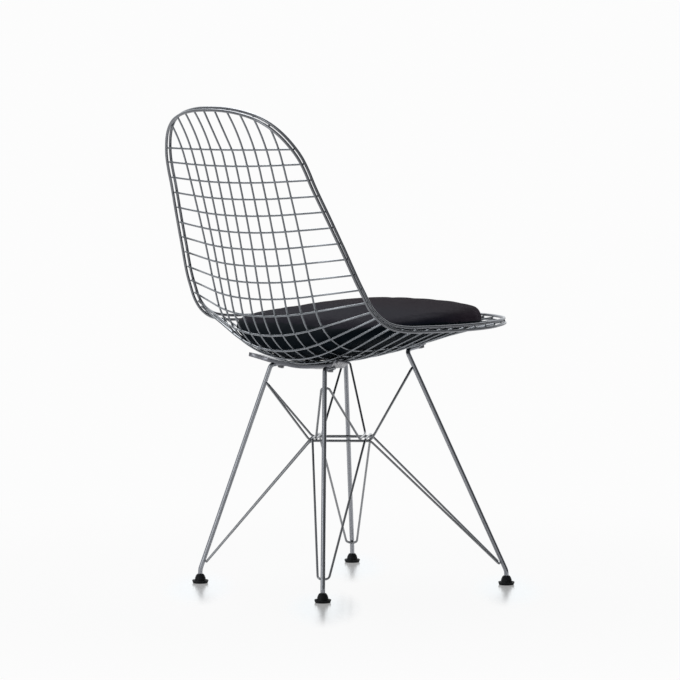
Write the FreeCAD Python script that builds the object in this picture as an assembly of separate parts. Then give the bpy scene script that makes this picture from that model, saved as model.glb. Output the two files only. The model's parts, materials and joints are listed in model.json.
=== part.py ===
import FreeCAD, Part

import math
import os

V = FreeCAD.Vector
PARTS = "parts"

# Wire and rod sizes
lattice_wire = 3.3
rim_wire = 5.0
brace_wire = 4.0
leg_rod = 8.0
lattice_sides = 6
rim_sides = 8
rod_sides = 16
weld_gap = 0.05
rim_runs = 42

# Centre profile of the shell, from the top of the back down and forward to the front edge
back_top_y = 306.5
back_top_z = 828.5
top_heading = -121.4
flare_radius = 415.0
flare_length = 116.0
back_radius = 2470.0
back_length = 161.0
lumbar_length = 79.0
bend_radius = 127.5
bend_length = 177.0
seat_radius = 758.0
seat_length = 327.0

# Rim: share of the centre profile's length, half width, height above the profile
rim_stations = [
    (0.00000, 0.0, 0.0),
    (0.00988, 72.0, 3.0),
    (0.02326, 106.0, 5.5),
    (0.04942, 139.0, 8.7),
    (0.09244, 167.7, 12.6),
    (0.19128, 190.7, 22.2),
    (0.29012, 210.6, 36.0),
    (0.38372, 227.0, 51.8),
    (0.43895, 232.3, 62.5),
    (0.48081, 235.3, 67.4),
    (0.51977, 237.4, 70.6),
    (0.56453, 239.0, 72.6),
    (0.62791, 240.2, 71.8),
    (0.69419, 239.8, 66.3),
    (0.76860, 236.0, 56.8),
    (0.84128, 230.0, 43.3),
    (0.88605, 224.0, 33.4),
    (0.92674, 211.0, 23.4),
    (0.96512, 188.0, 12.0),
    (0.98721, 150.0, 4.2),
]

# Lattice
column_count = 10
column_pitch = 28.7
row_count = 26
first_row_along = 77.5
last_row_margin = 33.3
first_row_station = 4
last_row_rim_margin = 199.2
fan_row = 12.0
fan_open = 0.42
fan_width = 1.0
crowd_row = 12.9
crowd = 0.56
crowd_width = 2.1

# Cross straps: the rear one hangs under two cross wires, the front one lies between two of them
rear_strap_row = 15
front_strap_row = 22
strap_thickness = 3.5
strap_seat_gap = 0.15
rear_strap_half_length = 136.0
rear_strap_width = 32.0
rear_strap_bend_half = 30.0
rear_strap_bend_radius = 333.0
front_strap_half_length = 100.0
front_strap_width = 15.0

# Base
rear_stud_x = 64.5
rear_bend_x = 73.2
rear_bend_run = 19.6
front_stud_x = 74.0
front_bend_x = 80.3
front_bend_run = 38.7
tab_width = 17.0
tab_thickness = 4.0
tab_reach = 10.0
tab_neck = 12.0
rod_under_strap = 0.3
rod_to_washer = 0.6
stud_diameter = 6.0
stud_hole_clearance = 0.3
washer_diameter = 12.5
washer_thickness = 1.0
nut_across_flats = 10.0
nut_height = 3.6
stud_tail = 0.4
leg_top_bend = 13.0
leg_foot_bend = 26.0
leg_knee_z = 24.0
rear_foot_x = 164.2
rear_foot_y = 194.4
front_foot_x = 204.1
front_foot_y = -194.4
glide_diameter = 28.4
glide_sole_diameter = 25.6
glide_height = 16.0
glide_lip_height = 5.6
glide_groove_depth = 1.5
glide_dome_diameter = 19.2
glide_neck_diameter = 11.4
rod_in_glide = 10.0
glide_fit = 0.1

# Braces
rear_joint_share = 0.9153
front_joint_share = 0.9376
lower_joint_z = 40.0
hub_y = 9.4
hub_share = 0.6410
hub_half = 46.0
rod_reach = 63.0
eye_radius = 9.5
eye_bend = 8.0
rod_bend = 16.0
brace_run_turn = 32.0
leg_run_turn = 16.0

# Seat pad
pad_clearance = 0.4
pad_rear_row = 13.1
pad_front_row = 25.75
pad_half_width = 203.0
pad_corner = 3.0
pad_sections = 14
pad_edge_height = 87.2
pad_edge_slope = 0.085
pad_crown = 9.0
pad_side_bulge = 7.0
pad_end_thickness = 9.0


def chain_state(along):
    """Point (y, z) and heading in radians of the centre profile at a distance along it."""
    y = back_top_y
    z = back_top_z
    heading = math.radians(top_heading)
    parts = [
        (flare_length, 1.0 / flare_radius),
        (back_length, 1.0 / back_radius),
        (lumbar_length, 0.0),
        (bend_length, -1.0 / bend_radius),
        (seat_length, -1.0 / seat_radius),
    ]
    left = along
    for index, (length, bend) in enumerate(parts):
        last = index == len(parts) - 1
        run = left if last else min(left, length)
        turn = bend * run
        chord = run if abs(turn) < 1e-9 else 2.0 * math.sin(turn / 2.0) / bend
        y += chord * math.cos(heading + turn / 2.0)
        z += chord * math.sin(heading + turn / 2.0)
        heading += turn
        left -= run
        if left <= 1e-9:
            break
    return y, z, heading


def profile_length():
    return flare_length + back_length + lumbar_length + bend_length + seat_length


def frame_point(along, half_width, height):
    """A point beside the profile: to the side by half_width and up the profile's inner normal by height."""
    y, z, heading = chain_state(along)
    return V(half_width, y + height * math.sin(heading), z - height * math.cos(heading))


def unit(vector):
    return vector * (1.0 / vector.Length)


def arc_edge(start, tangent, end):
    """The arc, or the line, that leaves start along tangent and ends at end, with its tangent there."""
    chord = end - start
    length = chord.Length
    along = chord * (1.0 / length)
    side = tangent - along * tangent.dot(along)
    if side.Length < 1e-7:
        return Part.LineSegment(start, end).toShape(), tangent
    half_turn = math.atan2(side.Length, tangent.dot(along))
    middle = (start + end) * 0.5 + unit(side) * (0.5 * length * math.tan(half_turn / 2.0))
    return Part.Arc(start, middle, end).toShape(), along * (2.0 * tangent.dot(along)) - tangent


def biarc(start, start_tangent, end, end_tangent):
    """Two tangent arcs from one point and direction to another."""
    span = end - start
    both = start_tangent + end_tangent
    spread = 2.0 * (1.0 - start_tangent.dot(end_tangent))
    reach = span.dot(both)
    if spread < 1e-9:
        handle = span.dot(span) / (2.0 * reach)
    else:
        handle = (math.sqrt(reach * reach + spread * span.dot(span)) - reach) / spread
    joint = (start + end + (start_tangent - end_tangent) * handle) * 0.5
    first, middle_tangent = arc_edge(start, start_tangent, joint)
    second, _ = arc_edge(joint, middle_tangent, end)
    return [first, second]


def three_point_tangent(before, here, after):
    """Tangent at the middle point of the circle through three points."""
    back = here - before
    ahead = after - here
    return unit(back * (ahead.Length / back.Length) + ahead * (back.Length / ahead.Length))


def mirrored_tangent(start, end, end_tangent):
    """The start tangent with which a single arc reaches end along end_tangent."""
    along = unit(end - start)
    return along * (2.0 * along.dot(end_tangent)) - end_tangent


def arc_path(points, first_tangent=None, last_tangent=None):
    """Tangent arcs through the points, as a list of edges."""
    tangents = [None] * len(points)
    for index in range(1, len(points) - 1):
        tangents[index] = three_point_tangent(points[index - 1], points[index], points[index + 1])
    tangents[0] = first_tangent or mirrored_tangent(points[0], points[1], tangents[1])
    backward = mirrored_tangent(points[-1], points[-2], tangents[-2] * -1.0) * -1.0
    tangents[-1] = last_tangent or backward
    edges = []
    for index in range(len(points) - 1):
        edges += biarc(points[index], tangents[index], points[index + 1], tangents[index + 1])
    return edges


def bar_section(points, index, width, sides, upward):
    """The bar's many-sided section at one of its bends, in the plane that halves the bend."""
    here = points[index]
    back = unit(here - points[index - 1]) if index > 0 else None
    ahead = unit(points[index + 1] - here) if index < len(points) - 1 else None
    along = unit((back or ahead) + (ahead or back))
    flat = unit(upward - along * along.dot(upward))
    side = along.cross(flat)
    radius = width / 2.0 / math.cos(math.pi / sides)
    lean = (back or ahead) - (ahead or back)
    stretch = 0.0
    if lean.Length > 1e-6:
        lean = unit(lean)
        stretch = 1.0 / along.dot(back) - 1.0
    corners = []
    for step in range(sides + 1):
        angle = 2.0 * math.pi * (step + 0.5) / sides
        spoke = flat * (radius * math.cos(angle)) + side * (radius * math.sin(angle))
        corners.append(here + spoke + lean * (spoke.dot(lean) * stretch))
    return Part.makePolygon(corners)


def wire_bar(points, width, sides, upwards):
    """A wire or rod in short straight runs, given width across its flats; one flat faces upward."""
    sections = [bar_section(points, index, width, sides, upwards[index]) for index in range(len(points))]
    return Part.makeLoft(sections, True, True)


def bend_points(points, radii, run_turn):
    """The points of a path, with each inner point replaced by points on an arc, one to each run_turn degrees."""
    path = [points[0]]
    for index in range(1, len(points) - 1):
        corner = points[index]
        back = unit(points[index - 1] - corner)
        ahead = unit(points[index + 1] - corner)
        half_angle = 0.5 * math.acos(max(-1.0, min(1.0, back.dot(ahead))))
        radius = radii[index - 1]
        centre = corner + unit(back + ahead) * (radius / math.sin(half_angle))
        first = unit(corner + back * (radius / math.tan(half_angle)) - centre)
        last = unit(corner + ahead * (radius / math.tan(half_angle)) - centre)
        turn = math.acos(max(-1.0, min(1.0, first.dot(last))))
        runs = max(1, round(math.degrees(turn) / run_turn))
        for step in range(runs + 1):
            share = step / runs
            spoke = first * math.sin((1.0 - share) * turn) + last * math.sin(share * turn)
            path.append(centre + unit(spoke) * radius)
    path.append(points[-1])
    return path


class HalfRim:
    """The left half of the rim's middle line, with points read off by their distance along it."""

    def __init__(self):
        length = profile_length()
        self.stations = [(share * length, width, height) for share, width, height in rim_stations]
        self.stations.append((length, 0.0, 0.0))
        points = [frame_point(*station) for station in self.stations]
        self.edges = arc_path(points, V(1, 0, 0), V(-1, 0, 0))
        self.lengths = [edge.Length for edge in self.edges]
        self.marks = [0.0]
        for index in range(0, len(self.edges), 2):
            self.marks.append(self.marks[-1] + self.lengths[index] + self.lengths[index + 1])
        self.total = self.marks[-1]

    def at(self, distance):
        left = distance
        for edge, length in zip(self.edges, self.lengths):
            if left <= length:
                return edge.valueAt(edge.getParameterByLength(left))
            left -= length
        return frame_point(*self.stations[-1])

    def station_at(self, distance):
        """The values of a station that would lie at this distance, between its neighbours."""
        index = 0
        while index < len(self.marks) - 2 and self.marks[index + 1] < distance:
            index += 1
        share = (distance - self.marks[index]) / (self.marks[index + 1] - self.marks[index])
        before = self.stations[index]
        after = self.stations[index + 1]
        return [low + share * (high - low) for low, high in zip(before, after)]

    def square_to_shell(self, distance):
        """Direction square to the shell at a place on the rim, pointing to the sitter's side."""
        step = 1.0
        here = self.at(distance)
        tangent = self.at(min(distance + step, self.total)) - self.at(max(distance - step, 0.0))
        along, half_width, height = self.station_at(distance)
        margin = 0.5 * first_row_along
        inner_along = min(max(along, margin), profile_length() - margin)
        inner = frame_point(inner_along, half_width * 0.62, height * 0.42)
        return unit(tangent.cross(inner - here))

    def where_x(self, x, low, high):
        """The point between two distances at which the rim passes a given x."""
        rising = self.at(high).x > self.at(low).x
        for _ in range(40):
            middle = 0.5 * (low + high)
            if (self.at(middle).x < x) == rising:
                low = middle
            else:
                high = middle
        return self.at(0.5 * (low + high))


def bell(value, width):
    return math.exp(-(value / width) ** 2)


def shared_out(first, last, row, weight):
    """The place of a row, or of a point between rows, with the steps from first to last shared by weight."""
    weights = [weight(index + 0.5) for index in range(1, row_count)]
    whole = min(int(math.floor(row)), row_count - 1)
    done = sum(weights[: whole - 1]) + (row - whole) * weights[whole - 1]
    return first + (last - first) * done / sum(weights)


def row_along(row):
    """Distance of a row along the centre profile; the rows fan out at the bend."""
    last = profile_length() - last_row_margin
    return shared_out(first_row_along, last, row, lambda n: 1.0 + fan_open * bell(n - fan_row, fan_width))


def row_on_rim(rim, row):
    """Distance of a row's end along the rim; the ends crowd together at the bend."""
    first = rim.marks[first_row_station]
    last = rim.total - last_row_rim_margin
    return shared_out(first, last, row, lambda n: 1.0 - crowd * bell(n - crowd_row, crowd_width))


def column_places():
    return [(index - (column_count - 1) / 2.0) * column_pitch for index in range(column_count)]


class Row:
    """A cross wire's line in its own plane: an arc under the columns, then straight up to the rim."""

    def __init__(self, rim, number, offset=0.0):
        along = row_along(number)
        y, z, heading = chain_state(along)
        self.centre = V(0, y - offset * math.sin(heading), z + offset * math.cos(heading))
        self.end = rim.at(row_on_rim(rim, number))
        rise = V(0, self.end.y - self.centre.y, self.end.z - self.centre.z)
        self.height = rise.Length
        self.up = unit(rise)
        self.arc_half = column_places()[-1] + 0.5
        self.angle = self.bend_angle()
        self.radius = self.arc_half / math.sin(self.angle)

    def bend_angle(self):
        low = 1e-4
        high = 1.2
        for _ in range(60):
            angle = 0.5 * (low + high)
            reached = self.arc_half * math.tan(angle / 2.0)
            reached += (self.end.x - self.arc_half) * math.tan(angle)
            if reached < self.height:
                low = angle
            else:
                high = angle
        return 0.5 * (low + high)

    def height_at(self, x, lift=0.0):
        """Height in the row's plane at a distance x from the middle, lifted square to the wire."""
        radius = self.radius - lift
        edge = radius * math.sin(self.angle)
        side = abs(x)
        if side <= edge:
            return lift + radius - math.sqrt(radius * radius - side * side)
        top = lift + radius * (1.0 - math.cos(self.angle))
        return top + (side - edge) * math.tan(self.angle)

    def point(self, x, lift=0.0):
        return V(x, 0, 0) + self.centre + self.up * self.height_at(x, lift)

    def place(self, x, height):
        return V(x, 0, 0) + self.centre + self.up * height

    def tangent(self, x):
        slope = x / math.sqrt(self.radius * self.radius - x * x)
        return unit(V(1, 0, 0) + self.up * slope)

    def wire(self):
        """The cross wire, bent a little at each column."""
        points = [self.point(x) for x in column_places()]
        points.insert(0, V(-self.end.x, self.end.y, self.end.z))
        points.append(self.end)
        return wire_bar(points, lattice_wire, lattice_sides, [self.up] * len(points))


def cross_row(rim, number):
    return Row(rim, number, -lattice_wire / 2.0)


def column_point(rim, number, x):
    """Centre of a column wire where it lies on a cross wire, touching it from inside."""
    here = cross_row(rim, number)
    step = 0.4
    before = cross_row(rim, max(1.0, number - step)).point(x)
    after = cross_row(rim, number + step).point(x)
    normal = unit(here.tangent(x).cross(after - before))
    if normal.z - 0.5 * normal.y < 0:
        normal = normal * -1.0
    flat = V(0, normal.y, normal.z)
    return here.point(x) + unit(flat) * (lattice_wire / flat.Length + weld_gap)


def column_wire(rim, x):
    side = abs(x)
    top = rim.where_x(side, 0.0, rim.marks[first_row_station])
    front = rim.where_x(side, rim.marks[-5], rim.total)
    top_end = V(x, top.y, top.z)
    front_end = V(x, front.y, front.z)
    points = [top_end]
    points += [column_point(rim, number + 1, x) for number in range(row_count)]
    points.append(front_end)
    return wire_bar(points, lattice_wire, lattice_sides, [V(0, -1, 1)] * len(points))


def rim_bar(rim, offset):
    """One rim wire, moved off the middle line square to the shell, in short straight runs."""
    step = rim.total / rim_runs
    places = [step * (index + 0.5) for index in range(rim_runs)]
    upwards = [rim.square_to_shell(place) for place in places]
    points = [rim.at(place) + up * offset for place, up in zip(places, upwards)]
    for index, place in ((0, 0), (rim_runs + 1, rim_runs - 1)):
        beside = points[place] if index == 0 else points[-1]
        up = upwards[place] if index == 0 else upwards[-1]
        points.insert(index, V(0, beside.y, beside.z))
        upwards.insert(index, V(0, up.y, up.z))
    half = wire_bar(points, rim_wire, rim_sides, upwards)
    return half.fuse(half.mirror(V(0, 0, 0), V(1, 0, 0))).removeSplitter()


class Strap:
    """A bent flat bar under the lattice: an arc in the middle and a straight rise to each end."""

    def __init__(self, rim, row_number, lift, bend_half, bend_radius, half_length, width):
        rear = cross_row(rim, row_number).centre
        front = cross_row(rim, row_number + 1).centre
        self.across = unit(rear - front)
        self.up = V(1, 0, 0).cross(self.across)
        self.top = (rear + front) * 0.5 + self.up * lift
        self.angle = math.asin(bend_half / bend_radius)
        self.radius = bend_radius
        self.half_length = half_length
        self.width = width

    def at(self, x, depth):
        """Point at a distance x from the middle and a depth square below the upper face, and the way down."""
        side = math.copysign(1.0, x)
        angle = min(self.angle, math.asin(min(1.0, abs(x) / self.radius)))
        down = V(side * math.sin(angle), 0, 0) - self.up * math.cos(angle)
        along = V(side * math.cos(angle), 0, 0) + self.up * math.sin(angle)
        left = (abs(x) - self.radius * math.sin(angle)) / math.cos(angle)
        return self.top + self.up * self.radius + down * (self.radius + depth) + along * left, down

    def bar(self):
        edges = []
        for depth in (0.0, strap_thickness):
            bend_half = self.radius * math.sin(self.angle)
            middle = [self.at(x, depth)[0] for x in (-bend_half, 0.0, bend_half)]
            edges.append(Part.Arc(*middle).toShape())
            for start, x in ((middle[0], -self.half_length), (middle[2], self.half_length)):
                if bend_half < self.half_length - 1.0:
                    edges.append(Part.LineSegment(start, self.at(x, depth)[0]).toShape())
        for x in (-self.half_length, self.half_length):
            edges.append(Part.LineSegment(self.at(x, 0.0)[0], self.at(x, strap_thickness)[0]).toShape())
        face = Part.Face(Part.Wire(Part.sortEdges(edges)[0]))
        face.translate(self.across * (-self.width / 2.0))
        return face.extrude(self.across * self.width)

    def seat(self, x):
        """Point on the underside at a distance x from the middle, and the direction straight down from it."""
        return self.at(x, strap_thickness)


def rear_strap(rim):
    lift = -lattice_wire / 2.0 - weld_gap
    bend = (rear_strap_bend_half, rear_strap_bend_radius)
    return Strap(rim, rear_strap_row, lift, *bend, rear_strap_half_length, rear_strap_width)


def front_strap(rim):
    """This one follows the cross wires, its upper face against the long wires."""
    lift = lattice_wire / 2.0 - strap_seat_gap
    size = (front_strap_half_length, front_strap_width)
    row = cross_row(rim, front_strap_row + 0.5)
    level = Strap(rim, front_strap_row, lift, front_strap_half_length, row.radius, *size)
    radius = (row.radius - lift) / row.up.dot(level.up)
    return Strap(rim, front_strap_row, lift, front_strap_half_length, radius, *size)


def foot_of(front, side):
    x = front_foot_x if front else rear_foot_x
    y = front_foot_y if front else rear_foot_y
    return V(side * x, y, 0)


class Leg:
    """One bent rod, from its flattened end under a strap to its glide."""

    def __init__(self, strap, front, side):
        stud_x = front_stud_x if front else rear_stud_x
        bend_x = front_bend_x if front else rear_bend_x
        bend_run = front_bend_run if front else rear_bend_run
        self.seat, self.down = strap.seat(side * stud_x)
        self.foot = foot_of(front, side)
        offset = V(side * (bend_x - stud_x), bend_run, 0)
        offset = offset - self.down * self.down.dot(offset)
        self.forward = unit(offset * -1.0)
        level = self.seat + self.down * (leg_rod / 2.0 + rod_under_strap)
        self.axis_start = level - self.forward * (washer_diameter / 2.0 + rod_to_washer)
        self.corner = level + offset
        self.knee = V(self.foot.x, self.foot.y, leg_knee_z)
        self.line = unit(self.knee - self.corner)

    def axis_at(self, z):
        return self.corner + self.line * ((z - self.corner.z) / self.line.z)

    def axis_at_share(self, share):
        """Point on the middle line at a share of the height of the top bend."""
        return self.axis_at(self.corner.z * share)

    def tab(self):
        """The flattened and drilled end that the stud passes through."""
        across = self.down.cross(self.forward)
        half = tab_width / 2.0
        rear = self.seat - self.forward * tab_neck
        nose = self.seat + self.forward * (tab_reach - half)
        points = [rear - across * half * 0.55, nose - across * half]
        tip = self.seat + self.forward * tab_reach
        others = [nose + across * half, rear + across * half * 0.55]
        edges = [
            Part.LineSegment(points[0], points[1]).toShape(),
            Part.Arc(points[1], tip, others[0]).toShape(),
            Part.LineSegment(others[0], others[1]).toShape(),
            Part.LineSegment(others[1], points[0]).toShape(),
        ]
        plate = Part.Face(Part.Wire(edges)).extrude(self.down * tab_thickness)
        hole_radius = stud_diameter / 2.0 + stud_hole_clearance
        hole = Part.makeCylinder(hole_radius, tab_thickness * 3, self.seat - self.down * tab_thickness, self.down)
        return plate, hole

    def solid(self):
        end = self.foot + V(0, 0, glide_height - rod_in_glide)
        path = [self.axis_start, self.corner, self.knee, end]
        points = bend_points(path, [leg_top_bend, leg_foot_bend], leg_run_turn)
        across = unit(self.down.cross(self.forward))
        plate, hole = self.tab()
        bar = wire_bar(points, leg_rod, rod_sides, [across] * len(points))
        return bar.fuse(plate).cut(hole).removeSplitter()


def stud(leg):
    """A threaded stud, welded to the strap's underside."""
    length = tab_thickness + washer_thickness + nut_height + stud_tail
    return Part.makeCylinder(stud_diameter / 2.0, length, leg.seat, leg.down)


def washer_and_nut(leg):
    hole = stud_diameter / 2.0 + 0.05
    base = leg.seat + leg.down * tab_thickness
    ring = Part.makeCylinder(washer_diameter / 2.0, washer_thickness, base, leg.down)
    ring = ring.cut(Part.makeCylinder(hole, washer_thickness, base, leg.down))
    nut_base = base + leg.down * washer_thickness
    across = unit(leg.down.cross(leg.forward))
    points = []
    for index in range(7):
        angle = math.pi / 3.0 * index
        radius = nut_across_flats / math.sqrt(3.0)
        points.append(nut_base + leg.forward * (radius * math.cos(angle)) + across * (radius * math.sin(angle)))
    nut = Part.Face(Part.makePolygon(points)).extrude(leg.down * nut_height)
    nut = nut.cut(Part.makeCylinder(hole, nut_height, nut_base, leg.down))
    return ring, nut


def glide(foot):
    """A round moulded foot: a thin flange with a lip, a dome, and a blind hole for the rod."""
    sole = glide_sole_diameter / 2.0
    rim = glide_diameter / 2.0
    dome = glide_dome_diameter / 2.0
    neck = glide_neck_diameter / 2.0
    bore = leg_rod / 2.0 + glide_fit
    bore_floor = glide_height - rod_in_glide - glide_fit
    groove = glide_lip_height - glide_groove_depth
    outline = [
        (0.0, 0.0),
        (sole, 0.0),
        (rim, groove),
        (rim - 0.4, glide_lip_height),
        (dome, groove),
        (dome * 0.92, 0.7 * glide_height),
        (neck, glide_height),
        (bore, glide_height),
        (bore, bore_floor),
        (0.0, bore_floor),
        (0.0, 0.0),
    ]
    face = Part.Face(Part.makePolygon([V(radius, 0, height) for radius, height in outline]))
    body = face.revolve(V(0, 0, 0), V(0, 0, 1), 360)
    body.translate(foot)
    return body


def brace_loop(rear_leg, front_leg, rear_joint, front_joint, half, raised):
    """A closed bent wire: an eye at each of two opposite legs, and two parallel rods at the hub."""
    hub = V(0, hub_y, hub_share * 0.5 * (rear_leg.corner.z + front_leg.corner.z) + raised)
    along = unit(V(rear_leg.foot.x - front_leg.foot.x, rear_leg.foot.y - front_leg.foot.y, 0))
    across = V(0, 0, 1).cross(along)
    eye_gap = (leg_rod + brace_wire) / 2.0 + weld_gap
    rear_eye = rear_joint - unit(along - rear_leg.line * along.dot(rear_leg.line)) * eye_gap
    front_eye = front_joint + unit(along - front_leg.line * along.dot(front_leg.line)) * eye_gap
    sides = []
    for sign in (-1.0, 1.0):
        points = [
            rear_eye,
            rear_eye + across * (sign * eye_radius),
            hub + along * rod_reach + across * (sign * half),
            hub - along * rod_reach + across * (sign * half),
            front_eye + across * (sign * eye_radius),
            front_eye,
        ]
        points = bend_points(points, [eye_bend, rod_bend, rod_bend, eye_bend], brace_run_turn)
        sides.append(wire_bar(points, brace_wire, lattice_sides, [V(0, 0, 1)] * len(points)))
    return sides[0].fuse(sides[1]).removeSplitter()


def arc_points(three, runs):
    """Points (x, height) that divide the arc through three points into equal runs."""
    ends = [V(x, 0, height) for x, height in three]
    edge = Part.Arc(*ends).toShape()
    return [(point.x, point.z) for point in edge.discretize(Number=runs + 1)]


def seat_low_z():
    """Height of the centre profile where it is lowest."""
    return min(chain_state(row_along(number))[1] for number in range(1, row_count + 1))


def pad_section(rim, number, half_width, end_fade):
    """One cross section of the pad in a row's plane, from the lattice up to its crown."""
    row = cross_row(rim, number)
    lift = lattice_wire * 1.5 + pad_clearance
    knee = min(0.7 * half_width, row.arc_half * 0.97)
    foot = half_width - pad_side_bulge
    foot_height = row.height_at(foot, lift)
    edge_z = seat_low_z() + pad_edge_height - pad_edge_slope * row.centre.y
    top = (edge_z - row.centre.z) / row.up.z
    lowest = foot_height + pad_end_thickness
    edge = lowest + max(0.0, top - lowest) * end_fade
    shoulder = half_width - 0.8 * pad_side_bulge - 5.0 * end_fade
    crown = edge + pad_crown * end_fade + 1.0
    side_height = 0.5 * (foot_height + edge)
    low = [knee * (step / 3.0 - 1.0) for step in range(7)]
    points = [(x, row.height_at(x, lift)) for x in low]
    side = [(foot, foot_height), (half_width, side_height), (shoulder, edge)]
    points += arc_points(side, 4)[:-1]
    points += arc_points([(shoulder, edge), (0.0, crown), (-shoulder, edge)], 10)
    points += arc_points([(-x, height) for x, height in reversed(side)], 4)[1:]
    points.append(points[0])
    return Part.makePolygon([row.place(x, height) for x, height in points])


def seat_pad(rim):
    """The cushion: rounded in plan, crowned above, and following the lattice below."""
    wires = []
    half_rows = (pad_front_row - pad_rear_row) / 2.0
    middle = (pad_front_row + pad_rear_row) / 2.0
    for index in range(pad_sections + 1):
        share = -math.cos(math.pi * (index + 0.5) / (pad_sections + 1))
        half_width = pad_half_width * (1.0 - abs(share) ** pad_corner) ** (1.0 / pad_corner)
        fade = (1.0 - abs(share) ** 6.0) ** 0.5
        wires.append(pad_section(rim, middle + share * half_rows, half_width, fade))
    return Part.makeLoft(wires, True, True)


def save(name, shape):
    shape.exportStep(os.path.join(PARTS, name + ".step"))


def build():
    """All the pieces, by name."""
    rim = HalfRim()
    pieces = {}
    gap = (rim_wire + lattice_wire) / 2.0 + weld_gap
    pieces["rim_wire_inner"] = rim_bar(rim, gap)
    pieces["rim_wire_outer"] = rim_bar(rim, -gap)

    for index in range(row_count):
        name = "cross_wire_%02d" % (index + 1)
        pieces[name] = cross_row(rim, index + 1).wire()
    for index, x in enumerate(column_places()):
        pieces["long_wire_%02d" % (index + 1)] = column_wire(rim, x)

    rear = rear_strap(rim)
    front = front_strap(rim)
    legs = {
        "leg_rear_right": Leg(rear, False, -1),
        "leg_rear_left": Leg(rear, False, 1),
        "leg_front_right": Leg(front, True, -1),
        "leg_front_left": Leg(front, True, 1),
    }
    pieces["strap_rear"] = rear.bar()
    pieces["strap_front"] = front.bar()
    fittings = []
    for name, leg in legs.items():
        pieces[name] = leg.solid()
        fittings.append((stud(leg), *washer_and_nut(leg)))
    pieces["glides"] = Part.makeCompound([glide(leg.foot) for leg in legs.values()])
    pieces["strap_studs"] = Part.makeCompound([item[0] for item in fittings])
    pieces["washers"] = Part.makeCompound([item[1] for item in fittings])
    pieces["nuts"] = Part.makeCompound([item[2] for item in fittings])

    lower_half = hub_half - brace_wire / math.cos(math.pi / lattice_sides) - weld_gap
    pairs = [
        ("left", legs["leg_rear_left"], legs["leg_front_right"], 0.0),
        ("right", legs["leg_rear_right"], legs["leg_front_left"], brace_wire),
    ]
    for label, rear_leg, front_leg, raised in pairs:
        rear_top = rear_leg.axis_at_share(rear_joint_share)
        front_top = front_leg.axis_at_share(front_joint_share)
        upper = brace_loop(rear_leg, front_leg, rear_top, front_top, hub_half, raised)
        rear_low = rear_leg.axis_at(lower_joint_z)
        front_low = front_leg.axis_at(lower_joint_z)
        lower = brace_loop(rear_leg, front_leg, rear_low, front_low, lower_half, raised)
        pieces["brace_upper_" + label] = upper
        pieces["brace_lower_" + label] = lower

    pieces["seat_pad"] = seat_pad(rim)
    return pieces


def main():
    os.makedirs(PARTS, exist_ok=True)
    pieces = build()
    low = min(shape.BoundBox.YMin for shape in pieces.values())
    high = max(shape.BoundBox.YMax for shape in pieces.values())
    shift = V(0, -(low + high) / 2.0, 0)
    for name, shape in pieces.items():
        shape.translate(shift)
        save(name, shape)
    print("pieces", len(pieces), "moved in y by", round(shift.y, 3))
    return pieces


main()
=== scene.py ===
import json
import math

import bmesh
import bpy
from mathutils import Matrix, Vector


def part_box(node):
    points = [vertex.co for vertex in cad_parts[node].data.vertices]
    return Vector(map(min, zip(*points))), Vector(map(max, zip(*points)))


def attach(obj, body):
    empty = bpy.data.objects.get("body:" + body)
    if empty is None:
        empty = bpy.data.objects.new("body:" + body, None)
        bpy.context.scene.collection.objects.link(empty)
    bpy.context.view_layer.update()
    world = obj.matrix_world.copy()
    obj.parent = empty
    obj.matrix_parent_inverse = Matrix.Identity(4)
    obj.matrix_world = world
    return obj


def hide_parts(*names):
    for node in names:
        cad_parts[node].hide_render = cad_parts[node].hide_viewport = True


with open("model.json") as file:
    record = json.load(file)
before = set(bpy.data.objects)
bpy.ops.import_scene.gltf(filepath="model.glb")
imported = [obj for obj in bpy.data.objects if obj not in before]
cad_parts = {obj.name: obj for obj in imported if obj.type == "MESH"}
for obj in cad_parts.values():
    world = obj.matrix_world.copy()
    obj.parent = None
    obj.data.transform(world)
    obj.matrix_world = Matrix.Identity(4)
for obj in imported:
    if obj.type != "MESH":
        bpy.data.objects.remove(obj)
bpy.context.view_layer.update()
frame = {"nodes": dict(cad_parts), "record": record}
nodes = frame["nodes"]

# The frame's bars: their widths in metres, and how many flats each one has
LATTICE_WIRE = 0.0033
RIM_WIRE = 0.005
BRACE_WIRE = 0.004
LEG_ROD = 0.008
LATTICE_SIDES = 6
RIM_SIDES = 8

# A leg: its flattened tab, the rod's gap under the strap, its two bends, and how far its top is moved
TAB_WIDTH = 0.017
TAB_THICKNESS = 0.004
TAB_NECK = 0.012
TAB_REACH = 0.010
ROD_GAP = 0.0003
TOP_BEND = 0.0085
KNEE_BEND = 0.026
REAR_TOP_INWARD = 0.0025
REAR_TOP_FORWARD = 0.0015
FRONT_TOP_BACK = 0.0024

# The braces: at the hub the upper loops lie inside the lower ones, and their eyes are narrower
HUB_DRAW = 0.0105
HUB_BEND = 0.014
HUB_SPREAD = {"upper": 0.833, "lower": 1.11}
EYE_REACH = {"upper": 0.0064, "lower": 0.0093}
EYE_BEND = {"upper": 0.006, "lower": 0.008}

# The rear strap and each strap's fastenings are turned about lines across the chair. The rear strap's
# ends are drawn in and swept back and up, and its rear edge has a lip.
STRAP_TURN = math.radians(7.0)
STRAP_PIVOT = Vector((0.0, 0.072, 0.389))
FRONT_TURN = math.radians(7.5)
SWEEP_START = 0.078
SWEEP_OLD_END = 0.136
SWEEP_NEW_END = 0.116
SWEEP_BACK = 0.018
SWEEP_UP = 0.0028
LIP_WIDTH = 0.004
LIP_DROP = 0.0035

# The cushion: how its front is filled out, how far its crown sinks, and the most that the cloth swells
PAD_VOXEL = 0.005
PAD_FRONT_SHARE = 0.45
PAD_FRONT_REACH = 0.0100
PAD_FRONT_LIFT = 0.0030
PAD_FRONT_SPREAD = 0.045
PAD_CROWN_DROP = 0.0085
SWELL_FRAMES = 20
SWELL_MOST = 0.0018


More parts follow.
